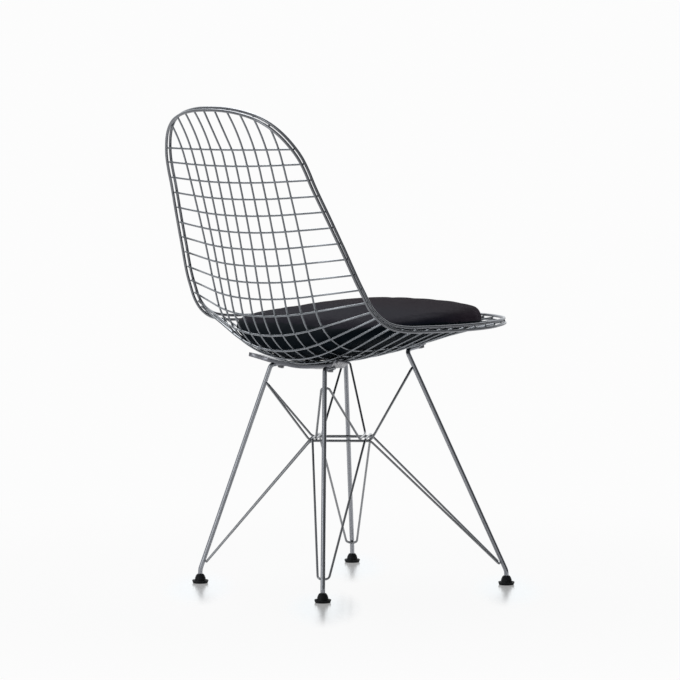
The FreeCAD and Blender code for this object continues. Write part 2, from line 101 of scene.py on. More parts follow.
# ---- shader maths: a socket that adds and multiplies by making its own nodes
class Val:
    def __init__(self, tree, socket):
        self.tree = tree
        self.socket = socket

    def math(self, operation, other=0.0, swap=False):
        node = self.tree.nodes.new("ShaderNodeMath")
        node.operation = operation
        first, second = (other, self) if swap else (self, other)
        for place, value in ((0, first), (1, second)):
            if isinstance(value, Val):
                self.tree.links.new(value.socket, node.inputs[place])
            else:
                node.inputs[place].default_value = value
        return Val(self.tree, node.outputs[0])

    def __add__(self, other):
        return self.math("ADD", other)

    def __radd__(self, other):
        return self.math("ADD", other)

    def __sub__(self, other):
        return self.math("SUBTRACT", other)

    def __rsub__(self, other):
        return self.math("SUBTRACT", other, swap=True)

    def __mul__(self, other):
        return self.math("MULTIPLY", other)

    def most(self, other):
        return self.math("MAXIMUM", other)

    def sine(self):
        return self.math("SINE")


class Finish:
    """A material and its node tree."""

    def __init__(self, name):
        self.material = bpy.data.materials.new(name)
        self.material.use_nodes = True
        self.tree = self.material.node_tree
        self.shader = self.tree.nodes["Principled BSDF"]
        self.end = self.tree.nodes["Material Output"]

    def node(self, kind, settings=None, output=0, **inputs):
        """A new node's output; a key such as i1 names an input by its number."""
        node = self.tree.nodes.new("ShaderNode" + kind)
        for key, value in (settings or {}).items():
            setattr(node, key, value)
        for key, value in inputs.items():
            numbered = key[0] == "i" and key[1:].isdigit()
            self.feed(node.inputs[int(key[1:]) if numbered else key], value)
        return Val(self.tree, node.outputs[output])

    def feed(self, socket, value):
        if isinstance(value, Val):
            self.tree.links.new(value.socket, socket)
        else:
            socket.default_value = value

    def ramp(self, value, low, high):
        """Nought at low and one at high, with soft ends."""
        return self.node("MapRange", {"interpolation_type": "SMOOTHSTEP"}, Value=value, i1=low, i2=high)

    def place(self):
        return self.node("TexCoord", output=3)

    def mix(self, share, first, second):
        return self.node("Mix", {"data_type": "RGBA"}, output=2, i0=share, i6=first, i7=second)

    def set(self, **values):
        for key, value in values.items():
            self.feed(self.shader.inputs[key.replace("_", " ")], value)

    def bump(self, height, strength, distance):
        normal = self.node("Bump", Strength=strength, Distance=distance, Height=height)
        self.set(Normal=normal)


def rgb(red, green, blue):
    return (red, green, blue, 1.0)


def chrome(name, tone, haze):
    """Bright plate over polished steel, with a few hazy patches and fine specks."""
    finish = Finish(name)
    place = finish.place()
    patches = finish.node("TexNoise", Vector=place, Scale=38.0, Detail=3.0, Roughness=0.6)
    specks = finish.node("TexNoise", Vector=place, Scale=900.0, Detail=2.0)
    dull = tuple(part * 0.82 for part in tone)
    finish.set(
        Base_Color=finish.mix((patches - 0.35) * 1.6, rgb(*tone), rgb(*dull)),
        Metallic=1.0,
        Roughness=haze + patches * 0.09,
    )
    finish.bump(specks, 0.006, 0.0002)
    return finish.material


def zinc(name):
    """Dull, mottled zinc plate on the small fastenings."""
    finish = Finish(name)
    place = finish.place()
    patches = finish.node("TexNoise", Vector=place, Scale=260.0, Detail=4.0)
    finish.set(
        Base_Color=finish.mix(patches, rgb(0.36, 0.37, 0.38), rgb(0.22, 0.22, 0.23)),
        Metallic=1.0,
        Roughness=0.28 + patches * 0.2,
    )
    finish.bump(patches, 0.15, 0.0003)
    return finish.material


def moulded_black(name):
    """Dull black plastic with a fine moulded grain and uneven wear."""
    finish = Finish(name)
    place = finish.place()
    grain = finish.node("TexNoise", Vector=place, Scale=1400.0, Detail=2.0)
    patches = finish.node("TexNoise", Vector=place, Scale=120.0, Detail=4.0, Roughness=0.7)
    finish.set(
        Base_Color=finish.mix(patches, rgb(0.0035, 0.0042, 0.0055), rgb(0.010, 0.011, 0.013)),
        Roughness=0.40 + patches * 0.2,
        Specular_IOR_Level=0.28,
    )
    finish.bump(grain, 0.2, 0.0002)
    return finish.material


YARNS = 5200.0  # the weave's radians in a metre


def cushion_cloth(name):
    """Close dark weave, brown black in front; the front's walls are made paler as painted light, and the rear
    is made blue black as painted shade.
    """
    finish = Finish(name)
    place = finish.place()
    across = finish.node("SeparateXYZ", output=0, Vector=place)
    along = finish.node("SeparateXYZ", output=1, Vector=place)
    warp = (across * YARNS).sine()
    weft = (along * YARNS).sine()
    yarn = (warp * weft) * 0.5 + 0.5
    fuzz = finish.node("TexNoise", Vector=place, Scale=1700.0, Detail=3.0, Roughness=0.7)
    drift = finish.node("TexNoise", Vector=place, Scale=14.0, Detail=3.0)
    tone = yarn * 0.35 + fuzz * 0.4 + drift * 0.25
    upright = finish.node("SeparateXYZ", output=2, Vector=finish.node("NewGeometry", output=1))
    # painted light and shade: this mask picks the cushion's walls, painted paler in front and blue black
    # behind
    painted_wall_shading = finish.ramp(upright, 0.95, 0.50)
    # painted shade: this mask picks the rear of the cushion, which is painted blue black
    behind = finish.ramp(along, -0.16, -0.04)
    crown = finish.mix(tone, rgb(0.0066, 0.0040, 0.0070), rgb(0.0195, 0.0130, 0.0205))
    # painted shade: the crown's cloth made bluer and darker at the rear
    painted_shaded_rear_crown = finish.mix(tone, rgb(0.0045, 0.0042, 0.0084), rgb(0.0140, 0.0140, 0.0240))
    # painted light: the front's walls made paler than the crown
    painted_lit_front_wall = finish.mix(tone, rgb(0.0210, 0.0150, 0.0215), rgb(0.0600, 0.0450, 0.0620))
    # painted shade: the rear's walls made blue black
    painted_shaded_rear_wall = finish.mix(tone, rgb(0.0030, 0.0038, 0.0090), rgb(0.0105, 0.0130, 0.0255))
    finish.set(
        Base_Color=finish.mix(
            behind,
            finish.mix(painted_wall_shading, crown, painted_lit_front_wall),
            finish.mix(painted_wall_shading, painted_shaded_rear_crown, painted_shaded_rear_wall),
        ),
        Roughness=0.86 + fuzz * 0.1,
        Sheen_Weight=0.018,
        Sheen_Roughness=0.5,
        Sheen_Tint=rgb(0.85, 0.70, 0.85),
        Specular_IOR_Level=0.10,
    )
    finish.bump(yarn * 0.6 + fuzz * 0.4, 0.35, 0.0004)
    return finish.material


def underside_cloth_and_shade(name):
    """Plain cloth under the cushion and up its rear; its blue black is painted shade, and up the rear it is
    painted shade over the cushion's cloth.
    """
    finish = Finish(name)
    place = finish.place()
    fuzz = finish.node("TexNoise", Vector=place, Scale=900.0, Detail=3.0)
    finish.set(
        # painted shade: the cloth's blue black tone
        Base_Color=finish.mix(fuzz, rgb(0.0010, 0.0032, 0.0054), rgb(0.0040, 0.0090, 0.0145)),
        Roughness=0.8 + fuzz * 0.15,
        Specular_IOR_Level=0.10,
    )
    finish.bump(fuzz, 0.3, 0.0003)
    return finish.material


FINISHES = {
    # painted shade: the plating's tones sit below real chrome and differ from part to part, darker on the rim
    # and the straps, lighter on the legs
    "wire_chrome": chrome("wire_chrome", (0.325, 0.345, 0.37), 0.15),
    "rim_chrome": chrome("rim_chrome", (0.29, 0.30, 0.32), 0.12),
    "strap_chrome": chrome("strap_chrome", (0.27, 0.275, 0.30), 0.22),
    "leg_chrome": chrome("leg_chrome", (0.42, 0.435, 0.465), 0.11),
    "brace_chrome": chrome("brace_chrome", (0.36, 0.37, 0.385), 0.13),
    "fastener_steel": zinc("fastener_steel"),
    "glide_plastic": moulded_black("glide_plastic"),
    "pad_fabric": cushion_cloth("pad_fabric"),
}
PAD_UNDERSIDE_AND_SHADE = underside_cloth_and_shade("pad_underside_and_shade")


def smooth_faces(mesh):
    for face in mesh.polygons:
        face.use_smooth = True


def finish_frame():
    """Every node of the frame gets its finish."""
    for part in frame["record"]["subparts"]:
        body = nodes[part["node"]]
        for slot in body.material_slots:
            slot.material = FINISHES[part["material_slot"]]
        smooth_faces(body.data)
        body.data.update()


def new_piece(name, mesh, slot, replaced=()):
    """A piece of the chair that rides on its one body, in place of the frame's nodes named in replaced."""
    piece = bpy.data.objects.new(name, mesh)
    bpy.context.scene.collection.objects.link(piece)
    mesh.materials.clear()
    mesh.materials.append(FINISHES[slot])
    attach(piece, "root")
    if replaced:
        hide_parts(*replaced)
    return piece


def mean(points):
    return sum(points, Vector()) / len(points)


def soft_share(share):
    """A share from nought to one with soft ends."""
    return share * share * (3.0 - 2.0 * share)


def skin(name, verts, faces):
    """A mesh with smooth sides and flat ends."""
    mesh = bpy.data.meshes.new(name)
    mesh.from_pydata(verts, [], faces)
    for face in mesh.polygons:
        face.use_smooth = len(face.vertices) == 4
    return mesh


# ---- wires: a smooth round bar along the middle of each bent bar of the frame
RING_SLACK = 1.25  # an edge up to this many flats long goes round the bar, and a longer one along it
UNEVEN = 2.6  # a run this many times as long as its neighbour stays straight
NEARLY_STRAIGHT = 0.004  # radians


def node_mesh(node):
    """A welded copy of a node's mesh."""
    mesh = bmesh.new()
    mesh.from_mesh(nodes[node].data)
    bmesh.ops.remove_doubles(mesh, verts=mesh.verts, dist=2e-6)
    mesh.verts.ensure_lookup_table()
    return mesh


def middle_line(node, width, sides):
    """The middles of a bent bar's sections, in order, and whether the bar is a closed loop."""
    mesh = node_mesh(node)
    flat = width * math.tan(math.pi / sides)
    near = [set() for _ in mesh.verts]
    far = [set() for _ in mesh.verts]
    for edge in mesh.edges:
        a, b = edge.verts[0].index, edge.verts[1].index
        links = near if edge.calc_length() < flat * RING_SLACK else far
        links[a].add(b)
        links[b].add(a)
    ring_of = {}
    rings = []
    for vert in mesh.verts:
        if vert.index in ring_of:
            continue
        ring = [vert.index]
        ring_of[vert.index] = len(rings)
        for member in ring:
            for other in near[member]:
                if other not in ring_of:
                    ring_of[other] = len(rings)
                    ring.append(other)
        rings.append(ring)
    middles = []
    beside = []
    for index, ring in enumerate(rings):
        middles.append(mean([mesh.verts[i].co for i in ring]))
        beside.append({ring_of[other] for i in ring for other in far[i]} - {index})
    mesh.free()
    ends = [index for index, others in enumerate(beside) if len(others) == 1]
    order = [ends[0] if ends else 0]
    while True:
        ahead = [other for other in beside[order[-1]] if other not in order]
        if not ahead:
            break
        ahead.sort(key=lambda other: (middles[other] - middles[order[-1]]).length)
        order.append(ahead[0])
    return [middles[index] for index in order], not ends


def smooth_run(points, closed, spacing):
    """A smooth line through the points: arcs where the bends are even, straight beside a long run."""
    count = len(points)
    tangents = []
    for index, here in enumerate(points):
        before = points[index - 1] if closed or index else None
        after = points[(index + 1) % count] if closed or index < count - 1 else None
        if before is None or after is None:
            tangents.append(None)
            continue
        back, ahead = here - before, after - here
        if back.length > UNEVEN * ahead.length:
            tangents.append(back.normalized())
        elif ahead.length > UNEVEN * back.length:
            tangents.append(ahead.normalized())
        else:
            ratio, other_ratio = ahead.length / back.length, back.length / ahead.length
            tangents.append((back * ratio + ahead * other_ratio).normalized())
    if not closed:
        for index, beside in ((0, 1), (count - 1, count - 2)):
            along = (points[beside] - points[index]).normalized()
            tangents[index] = (2.0 * along.dot(tangents[beside]) * along - tangents[beside]).normalized()
    line = []
    for index in range(count if closed else count - 1):
        start, end = points[index], points[(index + 1) % count]
        length = (end - start).length
        first, last = tangents[index] * length, tangents[(index + 1) % count] * length
        bend = max(first.angle(end - start), last.angle(end - start))
        steps = 1 if bend < NEARLY_STRAIGHT else max(1, round(length / spacing))
        for step in range(steps):
            t = step / steps
            line.append(
                start * (2 * t**3 - 3 * t**2 + 1)
                + first * (t**3 - 2 * t**2 + t)
                + end * (3 * t**2 - 2 * t**3)
                + last * (t**3 - t**2)
            )
    if not closed:
        line.append(points[-1].copy())
    return line


def tube(name, line, radius, closed, sides):
    """A round bar along a line, with softly broken ends where it is open."""
    count = len(line)
    verts, faces = [], []
    tangents = []
    for index in range(count):
        before = line[index - 1] if closed or index else line[index]
        after = line[(index + 1) % count] if closed or index < count - 1 else line[index]
        tangents.append((after - before).normalized())
    side = tangents[0].orthogonal().normalized()
    sections = []
    for index in range(count):
        if index:
            turn = tangents[index - 1].rotation_difference(tangents[index])
            side = (turn @ side).normalized()
        sections.append((line[index], tangents[index], side.copy(), radius))
    twist = 0.0
    if closed:
        last = (tangents[-1].rotation_difference(tangents[0]) @ side).normalized()
        start = sections[0][2]
        twist = math.atan2(last.cross(start).dot(tangents[0]), last.dot(start))
    else:
        cut = radius * 0.22
        here, tangent, spoke, _ = sections[0]
        sections[0] = (here + tangent * cut, tangent, spoke, radius)
        sections.insert(0, (here, tangent, spoke, radius - cut))
        here, tangent, spoke, _ = sections[-1]
        sections[-1] = (here - tangent * cut, tangent, spoke, radius)
        sections.append((here, tangent, spoke, radius - cut))
    total = len(sections)
    for index, (here, tangent, spoke, reach) in enumerate(sections):
        other = tangent.cross(spoke)
        for step in range(sides):
            angle = 2.0 * math.pi * step / sides + twist * index / total
            verts.append(here + (spoke * math.cos(angle) + other * math.sin(angle)) * reach)
    for index in range(total if closed else total - 1):
        for step in range(sides):
            a = index * sides + step
            b = index * sides + (step + 1) % sides
            c = ((index + 1) % total) * sides + (step + 1) % sides
            d = ((index + 1) % total) * sides + step
            faces.append((a, b, c, d))
    if not closed:
        faces.append(tuple(reversed(range(sides))))
        faces.append(tuple(range((total - 1) * sides, total * sides)))
    return skin(name, verts, faces)


def front_pivot():
    """The upper end of the front studs, on the line that their fastenings turn about."""
    points = [vert.co for vert in nodes["strap_studs"].data.vertices if vert.co.y < 0.0]
    high = max(point.z for point in points)
    top = [point for point in points if point.z > high - 0.003]
    count = len(top)
    return Vector((0.0, sum(point.y for point in top) / count, sum(point.z for point in top) / count))


FRONT_PIVOT = front_pivot()


def round_wires():
    """The lattice and the rim as round bars in place of the frame's flat-sided ones."""
    lines = {}
    for name in sorted(nodes):
        if name.startswith(("cross_wire", "long_wire")):
            width, flats, spacing, sides, slot = LATTICE_WIRE, LATTICE_SIDES, 0.009, 12, "wire_chrome"
        elif name.startswith("rim_wire"):
            width, flats, spacing, sides, slot = RIM_WIRE, RIM_SIDES, 0.006, 20, "rim_chrome"
        else:
            continue
        lines[name], closed = middle_line(name, width, flats)
        mesh = tube("round_" + name, smooth_run(lines[name], closed, spacing), width / 2.0, closed, sides)
        new_piece("round_" + name, mesh, slot, (name,))
    return lines


# ---- rods: the straight runs are read from the frame, and the bends are rounded between them
def long_runs(node, least):
    """A bent bar's straight runs that are longer than least, as pairs of end points, and all its points."""
    mesh = node_mesh(node)
    group = {}
    for edge in mesh.edges:
        if edge.calc_length() < least:
            continue
        joined = [group[vert.index] for vert in edge.verts if vert.index in group]
        members = set().union(*joined) if joined else set()
        members |= {vert.index for vert in edge.verts}
        for index in members:
            group[index] = members
    runs = []
    for members in {id(item): item for item in group.values()}.values():
        points = [mesh.verts[index].co.copy() for index in members]
        first = points[0]
        direction = (max(points, key=lambda point: (point - first).length) - first).normalized()
        places = [point.dot(direction) for point in points]
        halfway = (min(places) + max(places)) / 2.0
        low = [point for point, place in zip(points, places) if place < halfway]
        high = [point for point, place in zip(points, places) if place >= halfway]
        runs.append((mean(low), mean(high)))
    points = [vert.co.copy() for vert in mesh.verts]
    mesh.free()
    return runs, points


def meeting(first, second):
    """The place where two lines, each given by two points, pass closest."""
    a, b = first[0], first[1] - first[0]
    c, d = second[0], second[1] - second[0]
    across = b.cross(d)
    share = (c - a).cross(d).dot(across) / across.length_squared
    other = (c - a).cross(b).dot(across) / across.length_squared
    return (a + b * share + c + d * other) / 2.0


def rounded(corners, radii, closed, step=0.14):
    """A line through corners, each rounded to its radius in steps of so many radians."""
    count = len(corners)
    line = []
    for index, corner in enumerate(corners):
        if not closed and index in (0, count - 1):
            line.append(corner.copy())
            continue
        back = (corners[index - 1] - corner).normalized()
        ahead = (corners[(index + 1) % count] - corner).normalized()
        half = back.angle(ahead) / 2.0
        radius = radii[index]
        centre = corner + (back + ahead).normalized() * (radius / math.sin(half))
        first = corner + back * (radius / math.tan(half)) - centre
        last = corner + ahead * (radius / math.tan(half)) - centre
        turn = first.angle(last)
        steps = max(1, math.ceil(turn / step))
        for place in range(steps + 1):
            share = place / steps
            spoke = first * math.sin((1.0 - share) * turn) + last * math.sin(share * turn)
            line.append(centre + spoke.normalized() * radius)
    return line


def brace_corners(node, level):
    """The eight corners of a brace loop: two at each eye and four at the hub."""
    runs, points = long_runs(node, 0.03)
    middle = mean(points)
    far = max(points, key=lambda point: (point - middle).xy.length)
    outward = Vector((far.x - middle.x, far.y - middle.y, 0.0)).normalized()
    across = Vector((0, 0, 1)).cross(outward)
    hub = sorted(runs, key=lambda run: abs((run[0] + run[1] - 2.0 * middle).dot(outward)))[:2]
    arms = [run for run in runs if run not in hub]
    reach = BRACE_WIRE / 2.0 / math.cos(math.pi / LATTICE_SIDES)
    corners = []
    for sign in (1.0, -1.0):
        limit = max(sign * point.dot(outward) for point in points)
        tips = [point for point in points if sign * point.dot(outward) > limit - 0.0002]
        eye = mean(tips) - outward * (sign * reach)
        here = [run for run in arms if sign * (run[0] + run[1] - 2.0 * middle).dot(outward) > 0.0]
        here.sort(key=lambda run: sign * (run[0] + run[1]).dot(across))
        rods = sorted(hub, key=lambda run: sign * (run[0] + run[1]).dot(across))
        low, high = (meeting(arm, (eye - across, eye + across)) for arm in here)
        pair = [meeting(here[0], rods[0]), low, high, meeting(here[1], rods[1])]
        for place in (0, 3):
            side = (pair[place] - middle).dot(across)
            spread = across * (side * (HUB_SPREAD[level] - 1.0))
            pair[place] = pair[place] + spread - outward * (sign * HUB_DRAW)
        eye_middle = (low + high) / 2.0
        for place in (1, 2):
            pair[place] = eye_middle + (pair[place] - eye_middle).normalized() * EYE_REACH[level]
        corners += pair
    return corners


def braces():
    """The four bent loops that tie opposite legs to one another and cross at the hub."""
    for name in sorted(nodes):
        if name.startswith("brace"):
            level = "upper" if "upper" in name else "lower"
            radii = [HUB_BEND, EYE_BEND[level], EYE_BEND[level], HUB_BEND] * 2
            line = rounded(brace_corners(name, level), radii, True)
            mesh = tube("bent_" + name, line, BRACE_WIRE / 2.0, True, 18)
            new_piece("bent_" + name, mesh, "brace_chrome", (name,))


def loft(name, sections):
    """A skin over closed sections of equal length, with a face at each end."""
    verts = [point for section in sections for point in section]
    sides = len(sections[0])
    faces = [tuple(reversed(range(sides)))]
    for index in range(len(sections) - 1):
        for step in range(sides):
            a = index * sides + step
            b = index * sides + (step + 1) % sides
            faces.append((a, b, b + sides, a + sides))
    faces.append(tuple(range((len(sections) - 1) * sides, len(sections) * sides)))
    return skin(name, verts, faces)


def turned(point):
    """A point of the rear strap or of either strap's fastenings, turned about its strap's pivot."""
    turn, pivot = (STRAP_TURN, STRAP_PIVOT) if point.y > 0.0 else (FRONT_TURN, FRONT_PIVOT)
    return Matrix.Rotation(turn, 3, "X") @ (point - pivot) + pivot


def turn_all(work):
    """Turns a whole piece of the fastenings."""
    for vert in work.verts:
        vert.co = turned(vert.co)


def stud_axes():
    """Top middle and downward direction of each stud under the straps."""
    mesh = node_mesh("strap_studs")
    axes = []
    left = set(mesh.verts)
    for seed in mesh.verts:
        if seed not in left:
            continue
        left.discard(seed)
        members = [seed]
        for vert in members:
            for edge in vert.link_edges:
                other = edge.other_vert(vert)
                if other in left:
                    left.discard(other)
                    members.append(other)
        points = [vert.co.copy() for vert in members]
        middle = mean(points)
        high_end = turned(mean([point for point in points if point.z > middle.z]))
        low_end = turned(mean([point for point in points if point.z <= middle.z]))
        axes.append((high_end, (low_end - high_end).normalized()))
    mesh.free()
    return axes


def leg_sections(seat, down, main, foot):
    """Sections of a leg from its flattened, rounded end to the round rod in the glide."""
    level = seat + down * (LEG_ROD / 2.0 + ROD_GAP)
    slope = main[1] - main[0]
    corner = main[0] + slope * ((level - main[0]).dot(down) / slope.dot(down))
    forward = (level - corner).normalized()
    knee = meeting(main, (foot, foot + Vector((0, 0, 1))))
    corners = [level - forward * TAB_NECK, corner, knee, foot]
    line = rounded(corners, [0, TOP_BEND, KNEE_BEND, 0], False, 0.1)
    side = down.cross(forward).normalized()
    sides = 24
    sections = []

    def ring(middle, across, up, wide, tall, square):
        """Points round an oval; the smaller square is, the nearer the oval comes to a rectangle."""
        points = []
        for step in range(sides):
            angle = 2.0 * math.pi * step / sides
            c, s = math.cos(angle), math.sin(angle)
            points.append(
                middle
                + across * (wide * math.copysign(abs(c) ** square, c))
                + up * (tall * math.copysign(abs(s) ** square, s))
            )
        return points

    half = TAB_WIDTH / 2.0
    for place in (1.0, 0.985, 0.94, 0.86, 0.74, 0.58, 0.36, 0.0, -0.5):
        wide = half * math.sqrt(max(0.0, 1.0 - max(0.0, place) ** 2)) + 0.0004
        tall = TAB_THICKNESS / 2.0 * (0.8 if place == 1.0 else 1.0)
        middle = seat + forward * (TAB_REACH - half + half * place) + down * (TAB_THICKNESS / 2.0)
        sections.append(ring(middle, side, down, wide, tall, 0.35))
    neck = [seat + forward * (TAB_REACH - 1.5 * half), line[0]]
    for place in (0.25, 0.5, 0.75, 1.0):
        ease = soft_share(place)
        middle = neck[0].lerp(neck[1], place)
        drop = TAB_THICKNESS / 2.0 * (1.0 - ease) + (LEG_ROD / 2.0 + ROD_GAP) * ease
        middle = middle - down * (middle - seat).dot(down) + down * drop
        wide = half * (1.0 - ease) + LEG_ROD / 2.0 * ease
        tall = TAB_THICKNESS / 2.0 * (1.0 - ease) + LEG_ROD / 2.0 * ease
        sections.append(ring(middle, side, down, wide, tall, 0.35 + 0.65 * ease))
    across, tangent = side, -forward
    for index in range(1, len(line)):
        before = (line[index] - line[index - 1]).normalized()
        after = (line[index + 1] - line[index]).normalized() if index < len(line) - 1 else before
        ahead = (before + after).normalized()
        across = (tangent.rotation_difference(ahead) @ across).normalized()
        tangent = ahead
        sections.append(ring(line[index], across, across.cross(tangent), LEG_ROD / 2.0, LEG_ROD / 2.0, 1.0))
    return sections


def legs():
    """The four rods, each flattened under its strap, bent, and stood upright in its glide."""
    studs = stud_axes()
    for name in sorted(nodes):
        if not name.startswith("leg"):
            continue
        runs, points = long_runs(name, 0.1)
        low = min(point.z for point in points)
        ends = [point for point in points if point.z < low + 0.0001]
        foot = mean(ends)
        main = sorted(max(runs, key=lambda run: (run[0] - run[1]).length), key=lambda end: -end.z)
        if main[0].y > 0.0:
            main[0] = main[0] + Vector((-math.copysign(REAR_TOP_INWARD, main[0].x), -REAR_TOP_FORWARD, 0))
        else:
            main[0] = main[0] + Vector((0, FRONT_TOP_BACK, 0))
        seat, down = min(studs, key=lambda stud: (stud[0] - main[0]).length)
        mesh = loft("bent_" + name, leg_sections(seat, down, main, foot))
        new_piece("bent_" + name, mesh, "leg_chrome", (name,))


def glides():
    """Four moulded feet: a flat sole, a thin flange with an upturned lip, a dome and a short neck."""
    profile = [
        (0.0, 0.0), (0.0123, 0.0), (0.0128, 0.0002), (0.0133, 0.0012), (0.0138, 0.0028),
        (0.01412, 0.0042), (0.0142, 0.0050), (0.0140, 0.0055), (0.0137, 0.0056), (0.0133, 0.0053),
        (0.0124, 0.0046), (0.0114, 0.0041), (0.0106, 0.0040), (0.0100, 0.0042), (0.0097, 0.0049),
        (0.0096, 0.0062), (0.0094, 0.0082), (0.0090, 0.0102), (0.0083, 0.0120), (0.0075, 0.0136),
        (0.0066, 0.0149), (0.0060, 0.0157), (0.0055, 0.0160), (0.00415, 0.0160), (0.00415, 0.0125),
    ]
    sides = 56
    verts, faces = [], []
    for place in foot_places():
        base = len(verts)
        for radius, height in profile:
            for step in range(sides):
                angle = 2.0 * math.pi * step / sides
                verts.append((place.x + radius * math.cos(angle), place.y + radius * math.sin(angle), height))
        for index in range(len(profile) - 1):
            for step in range(sides):
                a = base + index * sides + step
                b = base + index * sides + (step + 1) % sides
                faces.append((a, b, b + sides, a + sides))
        faces.append(tuple(base + (len(profile) - 1) * sides + step for step in range(sides)))
    body = bpy.data.meshes.new("moulded_glides")
    body.from_pydata(verts, [], faces)
    cleaner = bmesh.new()
    cleaner.from_mesh(body)
    bmesh.ops.remove_doubles(cleaner, verts=cleaner.verts, dist=1e-6)
    cleaner.to_mesh(body)
    cleaner.free()
    smooth_faces(body)
    new_piece("moulded_glides", body, "glide_plastic", ("glides",))


def sweep_ends(work):
    """The rear strap has a lip along its rear edge, and its ends lean back and tilt up with the shell."""
    rear = max(vert.co.y for vert in work.verts)
    cuts = [((0, rear - LIP_WIDTH * share, 0), (0, 1, 0)) for share in (1.0, 1.4)]
    for step in range(9):
        for sign in (1.0, -1.0):
            cuts.append(((sign * (SWEEP_START + 0.0065 * step), 0, 0), (1, 0, 0)))
    for place, normal in cuts:
        geom = work.verts[:] + work.edges[:] + work.faces[:]
        bmesh.ops.bisect_plane(work, geom=geom, plane_co=place, plane_no=normal)
    work.normal_update()
    for vert in work.verts:
        if vert.normal.z < 0.0 and vert.co.y > rear - LIP_WIDTH * 1.1:
            vert.co.z -= LIP_DROP
        out = abs(vert.co.x) - SWEEP_START
        if out <= 0.0:
            continue
        ease = soft_share(min(1.0, out / (SWEEP_OLD_END - SWEEP_START)))
        reach = out * (SWEEP_NEW_END - SWEEP_START) / (SWEEP_OLD_END - SWEEP_START)
        vert.co.x = math.copysign(SWEEP_START + reach, vert.co.x)
        vert.co.y += SWEEP_BACK * ease
        vert.co.z += SWEEP_UP * ease
    turn_all(work)


def eased(node, slot, ease, shaped=None):
    """A copy of a rigid node, shaped where that is asked for, with its sharp edges rounded a little."""
    work = node_mesh(node)
    bmesh.ops.dissolve_limit(work, angle_limit=0.02, verts=work.verts, edges=work.edges)
    if shaped:
        shaped(work)
    sharp = [edge for edge in work.edges if len(edge.link_faces) == 2 and edge.calc_face_angle() > 0.6]
    bmesh.ops.bevel(work, geom=sharp, offset=ease, segments=2, affect="EDGES", profile=0.5)
    mesh = bpy.data.meshes.new("eased_" + node)
    work.to_mesh(mesh)
    work.free()
    smooth_faces(mesh)
    mesh.set_sharp_from_angle(angle=0.7)
    new_piece("eased_" + node, mesh, slot, (node,))


def straps_and_fastenings():
    """The two straps, and the studs, washers and nuts that hold the legs to them."""
    eased("strap_rear", "strap_chrome", 0.0005, sweep_ends)
    eased("strap_front", "strap_chrome", 0.0005)
    eased("nuts", "fastener_steel", 0.0003, turn_all)
    eased("washers", "fastener_steel", 0.0002, turn_all)
    eased("strap_studs", "fastener_steel", 0.0003, turn_all)


def foot_places():
    """The middle of each rod's lower end, on the floor."""
    places = []
    for name in sorted(nodes):
        if name.startswith("leg"):
            points = [vert.co for vert in nodes[name].data.vertices]
            low = min(point.z for point in points)
            ends = {(round(p.x, 6), round(p.y, 6)) for p in points if p.z < low + 0.0001}
            count = len(ends)
            places.append(Vector((sum(x for x, _ in ends) / count, sum(y for _, y in ends) / count, 0.0)))
    return places


def weld_spots(lines):
    """Where two wires of the lattice cross, the weld leaves a small flattened bead between them."""
    across = [line for name, line in sorted(lines.items()) if name.startswith("cross_wire")]
    along = [line for name, line in sorted(lines.items()) if name.startswith("long_wire")]
    bead = bmesh.new()
    for cross_line in across:
        inner = cross_line[1:-1]
        for long_line in along:
            x = long_line[1].x
            here = min(inner, key=lambda point: abs(point.x - x))
            there = min(long_line, key=lambda point: (point - here).length)
            middle = (here + there) / 2.0
            up = (there - here).normalized()
            turn = up.to_track_quat("Z", "X").to_matrix().to_4x4()
            size = Matrix.Diagonal((LATTICE_WIRE * 0.62, LATTICE_WIRE * 0.62, LATTICE_WIRE * 0.38, 1.0))
            shape = Matrix.Translation(middle) @ turn @ size
            bmesh.ops.create_icosphere(bead, subdivisions=2, radius=1.0, matrix=shape)
    mesh = bpy.data.meshes.new("lattice_weld_spots")
    bead.to_mesh(mesh)
    bead.free()
    smooth_faces(mesh)
    new_piece("lattice_weld_spots", mesh, "wire_chrome")


# ---- cushion
def cushion():
    """The seat pad: the frame's form swelled as stuffed cloth, its underside held to the lattice."""
    mesh = nodes["seat_pad"].data.copy()
    mesh.name = "seat_cushion"
    piece = new_piece("seat_cushion", mesh, "pad_fabric", ("seat_pad",))
    work = bmesh.new()
    work.from_mesh(mesh)
    bmesh.ops.remove_doubles(work, verts=work.verts, dist=1e-5)
    work.to_mesh(mesh)
    work.free()
    remesh = piece.modifiers.new("skin", "REMESH")
    remesh.mode = "VOXEL"
    remesh.voxel_size = PAD_VOXEL
    smooth = piece.modifiers.new("ease", "SMOOTH")
    smooth.factor = 0.6
    smooth.iterations = 14
    settle(piece)
    fill_front(piece)
    swell(piece)
    finer = piece.modifiers.new("finer", "SUBSURF")
    finer.levels = 1
    finer.render_levels = 1
    settle(piece)
    mesh = piece.data
    mesh.materials.clear()
    mesh.materials.append(FINISHES["pad_fabric"])
    mesh.materials.append(PAD_UNDERSIDE_AND_SHADE)
    smooth_faces(mesh)
    for face in mesh.polygons:
        # the underside's blue black cloth climbs higher up the rear than up the front: painted shade on the
        # rear
        limit = min(0.80, max(-0.25, 0.45 + (face.center.y + 0.02) * 4.0))
        face.material_index = 1 if face.normal.z < limit else 0


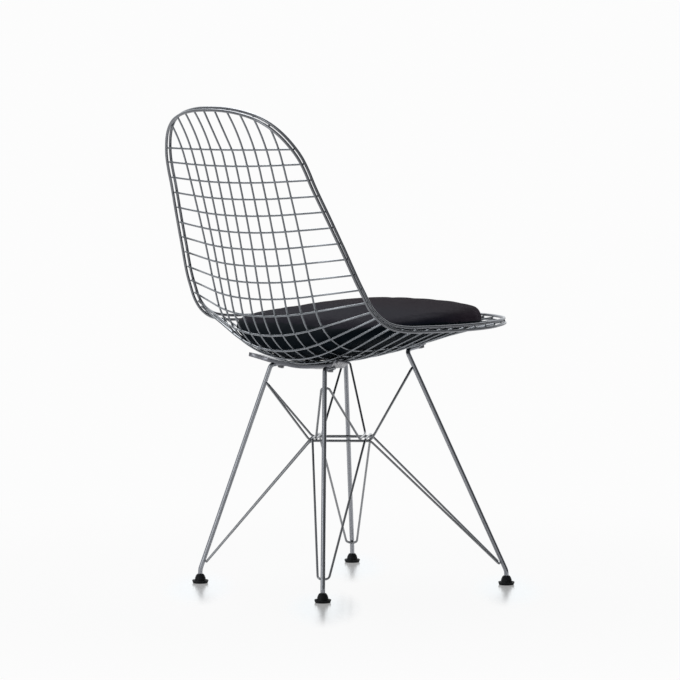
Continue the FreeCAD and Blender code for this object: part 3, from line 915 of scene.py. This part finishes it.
def fill_front(piece):
    """The stuffing reaches further forward and outward in front, and the crown behind it sinks."""
    verts = piece.data.vertices
    front, back = min(vert.co.y for vert in verts), max(vert.co.y for vert in verts)
    half = max(vert.co.x for vert in verts)
    upward = [max(0.0, vert.normal.z) for vert in verts]
    for vert, up in zip(verts, upward):
        along = (vert.co.y - front) / (back - front)
        out = min(1.0, abs(vert.co.x) / half)
        ease = soft_share(min(1.0, max(0.0, 1.0 - along / PAD_FRONT_SHARE)))
        crown = (1.0 - out * out) * math.sin(math.pi * min(1.0, along)) ** 0.5
        lift = PAD_FRONT_LIFT * ease * ease * (0.4 + 0.6 * out)
        vert.co.z += up * (lift - PAD_CROWN_DROP * crown * (1.0 - ease * ease))
        vert.co.y -= PAD_FRONT_REACH * ease
        vert.co.x *= 1.0 + PAD_FRONT_SPREAD * ease
    piece.data.update()


def settle(piece):
    """Applies a piece's modifiers to its mesh."""
    graph = bpy.context.evaluated_depsgraph_get()
    mesh = bpy.data.meshes.new_from_object(piece.evaluated_get(graph))
    piece.modifiers.clear()
    old = piece.data
    piece.data = mesh
    bpy.data.meshes.remove(old)


def swell(piece):
    """Cloth under pressure, kept off the lattice: only the top and the sides may move."""
    start = [vert.co.copy() for vert in piece.data.vertices]
    normals = [vert.normal.copy() for vert in piece.data.vertices]
    cloth = piece.modifiers.new("cloth", "CLOTH")
    cloth.settings.use_pressure = True
    cloth.settings.uniform_pressure_force = 4.0
    cloth.settings.effector_weights.gravity = 0.0
    cloth.settings.quality = 5
    cloth.point_cache.frame_start = 1
    cloth.point_cache.frame_end = SWELL_FRAMES
    scene = bpy.context.scene
    for number in range(1, SWELL_FRAMES + 1):
        scene.frame_set(number)
    graph = bpy.context.evaluated_depsgraph_get()
    moved = [vert.co.copy() for vert in piece.evaluated_get(graph).data.vertices]
    piece.modifiers.clear()
    scene.frame_set(1)
    for vert, before, after, normal in zip(piece.data.vertices, start, moved, normals):
        step = after - before
        if step.length > SWELL_MOST:
            step *= SWELL_MOST / step.length
        share = min(1.0, max(0.0, normal.z * 1.4 + 0.35))
        vert.co = before + step * share
    piece.data.update()


# ---- studio: its white, its levels, the floor's streaks, and the photograph's camera
WHITE = (0.975, 0.975, 0.975)
ROOM_LEVEL = 0.29
ROOM_SLOPE = 0.12
FLOOR_SIZE = 28.0
STREAK_SQUEEZE = 0.3  # a streak's width for its length
STREAK_LEAD = 0.06  # how far its middle lies towards the camera
PHOTO_SIDE = 680.0
FOCAL_PIXELS = 3502.29
EYE_FROM_FEET = Vector((-4.5930, 4.01264, 0.82382))
AZIMUTH = math.radians(228.95)
PITCH = math.radians(3.73)
VIEW = Vector((
    -math.sin(AZIMUTH) * math.cos(PITCH),
    math.cos(AZIMUTH) * math.cos(PITCH),
    -math.sin(PITCH),
))
RIGHT = VIEW.cross(Vector((0, 0, 1))).normalized()


def white_floor():
    """White paper with a faint shadow and a blurred streak at each foot, fading to white further out."""
    finish = Finish("white_floor")
    tree = finish.tree
    finish.set(Base_Color=rgb(0.94, 0.93, 0.925), Roughness=0.6, Specular_IOR_Level=0.0)
    gloss = tree.nodes.new("ShaderNodeBsdfGlossy")
    gloss.inputs["Color"].default_value = rgb(0.96, 0.98, 0.985)
    gloss.inputs["Roughness"].default_value = 0.21
    white = tree.nodes.new("ShaderNodeEmission")
    white.inputs["Color"].default_value = rgb(*WHITE)
    place = finish.node("NewGeometry", output=0)
    distance = finish.node("VectorMath", {"operation": "LENGTH"}, output=1, i0=place)
    away = finish.ramp(distance, 0.45, 1.3)
    camera_ray = finish.node("LightPath", output=0)

    def mixed(share, first, second):
        mix = tree.nodes.new("ShaderNodeMixShader")
        tree.links.new(share.socket, mix.inputs[0])
        tree.links.new(first, mix.inputs[1])
        tree.links.new(second, mix.inputs[2])
        return mix.outputs[0]

    flat_view = Vector((VIEW.x, VIEW.y, 0.0)).normalized()
    along = finish.node("VectorMath", {"operation": "DOT_PRODUCT"}, output=1, i0=place, i1=flat_view)
    across = finish.node("VectorMath", {"operation": "DOT_PRODUCT"}, output=1, i0=place, i1=RIGHT)
    streak = finish.node("CombineXYZ", X=along * STREAK_SQUEEZE, Y=across)
    near = finish.node("Value", {})
    near.socket.default_value = 0.0
    for foot in foot_places():
        middle = foot - flat_view * STREAK_LEAD
        spot = (middle.dot(flat_view) * STREAK_SQUEEZE, middle.dot(RIGHT), 0.0)
        gap = finish.node("VectorMath", {"operation": "DISTANCE"}, output=1, i0=streak, i1=spot)
        near = near.most(finish.ramp(gap, 0.075, 0.02))
    paper = mixed(camera_ray * 0.955, finish.shader.outputs[0], white.outputs[0])
    waxed = mixed(camera_ray * near * 0.66, paper, gloss.outputs[0])
    faded = mixed(away * camera_ray, waxed, white.outputs[0])
    tree.links.new(faded, finish.end.inputs["Surface"])
    return finish.material


def white_room():
    """A dim room, darker to the right, with a bright backdrop ahead; the camera itself sees white."""
    world = bpy.data.worlds.new("white_room")
    bpy.context.scene.world = world
    world.use_nodes = True
    tree = world.node_tree
    tree.nodes.clear()
    out = tree.nodes.new("ShaderNodeOutputWorld")
    paths = tree.nodes.new("ShaderNodeLightPath")
    place = tree.nodes.new("ShaderNodeTexCoord")
    facing = tree.nodes.new("ShaderNodeVectorMath")
    facing.operation = "DOT_PRODUCT"
    facing.inputs[1].default_value = VIEW
    sideways = tree.nodes.new("ShaderNodeVectorMath")
    sideways.operation = "DOT_PRODUCT"
    sideways.inputs[1].default_value = RIGHT
    spread = tree.nodes.new("ShaderNodeMapRange")
    spread.interpolation_type = "SMOOTHSTEP"
    spread.inputs["From Min"].default_value = 0.35
    spread.inputs["From Max"].default_value = 0.80
    spread.inputs["To Max"].default_value = 1.0
    light = tree.nodes.new("ShaderNodeBackground")
    light.inputs["Color"].default_value = rgb(0.96, 0.98, 1.0)
    seen = tree.nodes.new("ShaderNodeBackground")
    seen.inputs["Color"].default_value = rgb(*WHITE)
    mix = tree.nodes.new("ShaderNodeMixShader")
    tree.links.new(place.outputs["Generated"], facing.inputs[0])
    tree.links.new(place.outputs["Generated"], sideways.inputs[0])
    level = ROOM_LEVEL - Val(tree, sideways.outputs["Value"]) * ROOM_SLOPE
    tree.links.new(facing.outputs["Value"], spread.inputs["Value"])
    tree.links.new(level.socket, spread.inputs["To Min"])
    tree.links.new(spread.outputs[0], light.inputs["Strength"])
    tree.links.new(paths.outputs["Is Camera Ray"], mix.inputs[0])
    tree.links.new(light.outputs[0], mix.inputs[1])
    tree.links.new(seen.outputs[0], mix.inputs[2])
    tree.links.new(mix.outputs[0], out.inputs["Surface"])


def faced(thing, name, place, aim):
    """An object in the scene that faces aim from its place."""
    item = bpy.data.objects.new(name, thing)
    item.location = place
    item.rotation_euler = (Vector(aim) - Vector(place)).to_track_quat("-Z", "Y").to_euler()
    bpy.context.scene.collection.objects.link(item)
    return item


def softbox(name, place, aim, width, height, power):
    data = bpy.data.lights.new(name, "AREA")
    data.shape = "RECTANGLE"
    data.size = width
    data.size_y = height
    data.energy = power
    faced(data, name, place, aim)


def rectangle(name, width, height):
    mesh = bpy.data.meshes.new(name)
    w, h = width / 2.0, height / 2.0
    mesh.from_pydata([(-w, -h, 0), (w, -h, 0), (w, h, 0), (-w, h, 0)], [], [(0, 1, 2, 3)])
    return mesh


def flag(name, place, aim, width, height):
    """A black panel that shows only in reflections."""
    mesh = rectangle(name, width, height)
    panel = faced(mesh, name, place, aim)
    black = Finish(name + "_black")
    black.set(Base_Color=rgb(0.02, 0.02, 0.02), Roughness=0.9)
    mesh.materials.append(black.material)
    panel.visible_camera = False
    panel.visible_shadow = False
    panel.visible_diffuse = False


def studio():
    """A pale floor in a white room, two soft lights, and a dark panel for the plating to reflect."""
    floor_mesh = rectangle("studio_floor", FLOOR_SIZE, FLOOR_SIZE)
    floor = bpy.data.objects.new("studio_floor", floor_mesh)
    bpy.context.scene.collection.objects.link(floor)
    floor_mesh.materials.append(white_floor())
    white_room()
    softbox("top_softbox", (1.35, -0.65, 3.0), (0, 0, 0.4), 2.0, 2.0, 46.0)
    softbox("strip_light", (0.0, 4.0, 1.1), (0, 0, 0.5), 1.2, 2.6, 17.0)
    flag("dark_flag_right", (-3.84, -1.70, 1.3), (0, 0, 0.5), 2.6, 2.6)


def camera():
    """The photograph's view: a long lens, from behind and to the sitter's right."""
    glide_low, glide_high = (Vector(corner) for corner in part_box("glides"))
    foot_middle = (glide_low + glide_high) / 2.0
    data = bpy.data.cameras.new("photo_camera")
    data.sensor_width = 36.0
    data.lens = FOCAL_PIXELS / PHOTO_SIDE * data.sensor_width
    eye = bpy.data.objects.new("photo_camera", data)
    eye.location = EYE_FROM_FEET + Vector((0.0, foot_middle.y, 0.0))
    eye.rotation_euler = VIEW.to_track_quat("-Z", "Y").to_euler()
    bpy.context.scene.collection.objects.link(eye)
    bpy.context.scene.camera = eye


bpy.context.scene.view_settings.view_transform = "Standard"
finish_frame()
weld_spots(round_wires())
braces()
legs()
glides()
straps_and_fastenings()
cushion()
studio()
camera()
